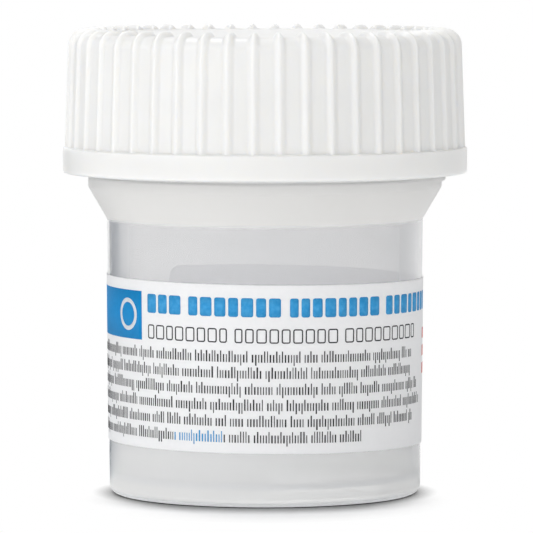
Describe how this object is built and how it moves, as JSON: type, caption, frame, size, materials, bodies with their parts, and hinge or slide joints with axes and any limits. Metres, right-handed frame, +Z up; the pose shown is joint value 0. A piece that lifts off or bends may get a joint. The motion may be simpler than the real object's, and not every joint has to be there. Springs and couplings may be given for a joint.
{
  "type": "specimen container",
  "caption": "Wide-mouth translucent jar with a ribbed screw cap, a foam liner, a wrap-round label and clear fixative inside, for holding a small tissue specimen.",
  "frame": {"origin": "centre of the foot, on the plane that the jar stands on", "axes": "+Z up along the jar's axis; the label's title faces -Y"},
  "size_m": [0.053, 0.053, 0.061],
  "materials": {
    "jar_plastic": "translucent polypropylene, satin",
    "cap_plastic": "white polyethylene, satin",
    "liner_foam": "white polyethylene foam, matte",
    "label_paper": "coated paper, printed",
    "formalin": "clear liquid"
  },
  "bodies": {
    "jar": {"jar": "jar_plastic", "label": "label_paper", "formalin_fill": "formalin"},
    "liner": {"cap_liner": "liner_foam"},
    "cap": {"cap": "cap_plastic"}
  },
  "joints": [
    {"name": "cap_rise", "type": "slide", "parent": "jar", "child": "liner", "axis": [0, 0, 1], "range_m": [0, 0.0191]},
    {"name": "cap_turn", "type": "hinge", "parent": "liner", "child": "cap", "pos_m": [0, 0, 0.05], "axis": [0, 0, 1], "range_deg": [0, 1620]}
  ],
  "couplings": [
    {"joint": "cap_rise", "follows": "cap_turn", "m_per_rad": 0.00067376}
  ]
}
